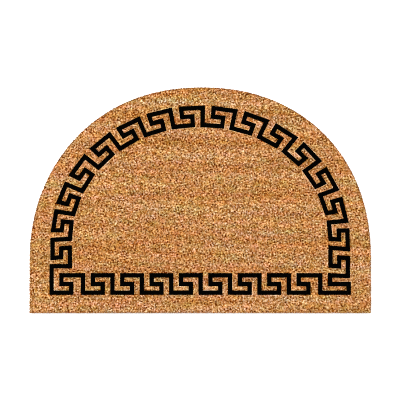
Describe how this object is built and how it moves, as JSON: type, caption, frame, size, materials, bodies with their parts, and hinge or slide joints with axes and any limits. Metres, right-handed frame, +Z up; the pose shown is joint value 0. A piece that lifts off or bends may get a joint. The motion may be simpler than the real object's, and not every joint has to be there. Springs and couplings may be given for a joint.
{
  "type": "half round doormat",
  "caption": "Flat D-shaped coir doormat with a straight front edge, an arched back edge and a black Greek key border.",
  "frame": {"origin": "middle of the outline's box, on the flat underside that rests on the floor", "axes": "+X along the straight edge, +Y from the straight edge towards the crown of the arch, +Z up through the thickness"},
  "size_m": [0.75, 0.496, 0.015],
  "materials": {
    "coir": "upright sheared coconut fibre, matt and speckled, with a black printed border"
  },
  "bodies": {
    "root": {"coir_mat": "coir"}
  },
  "joints": []
}
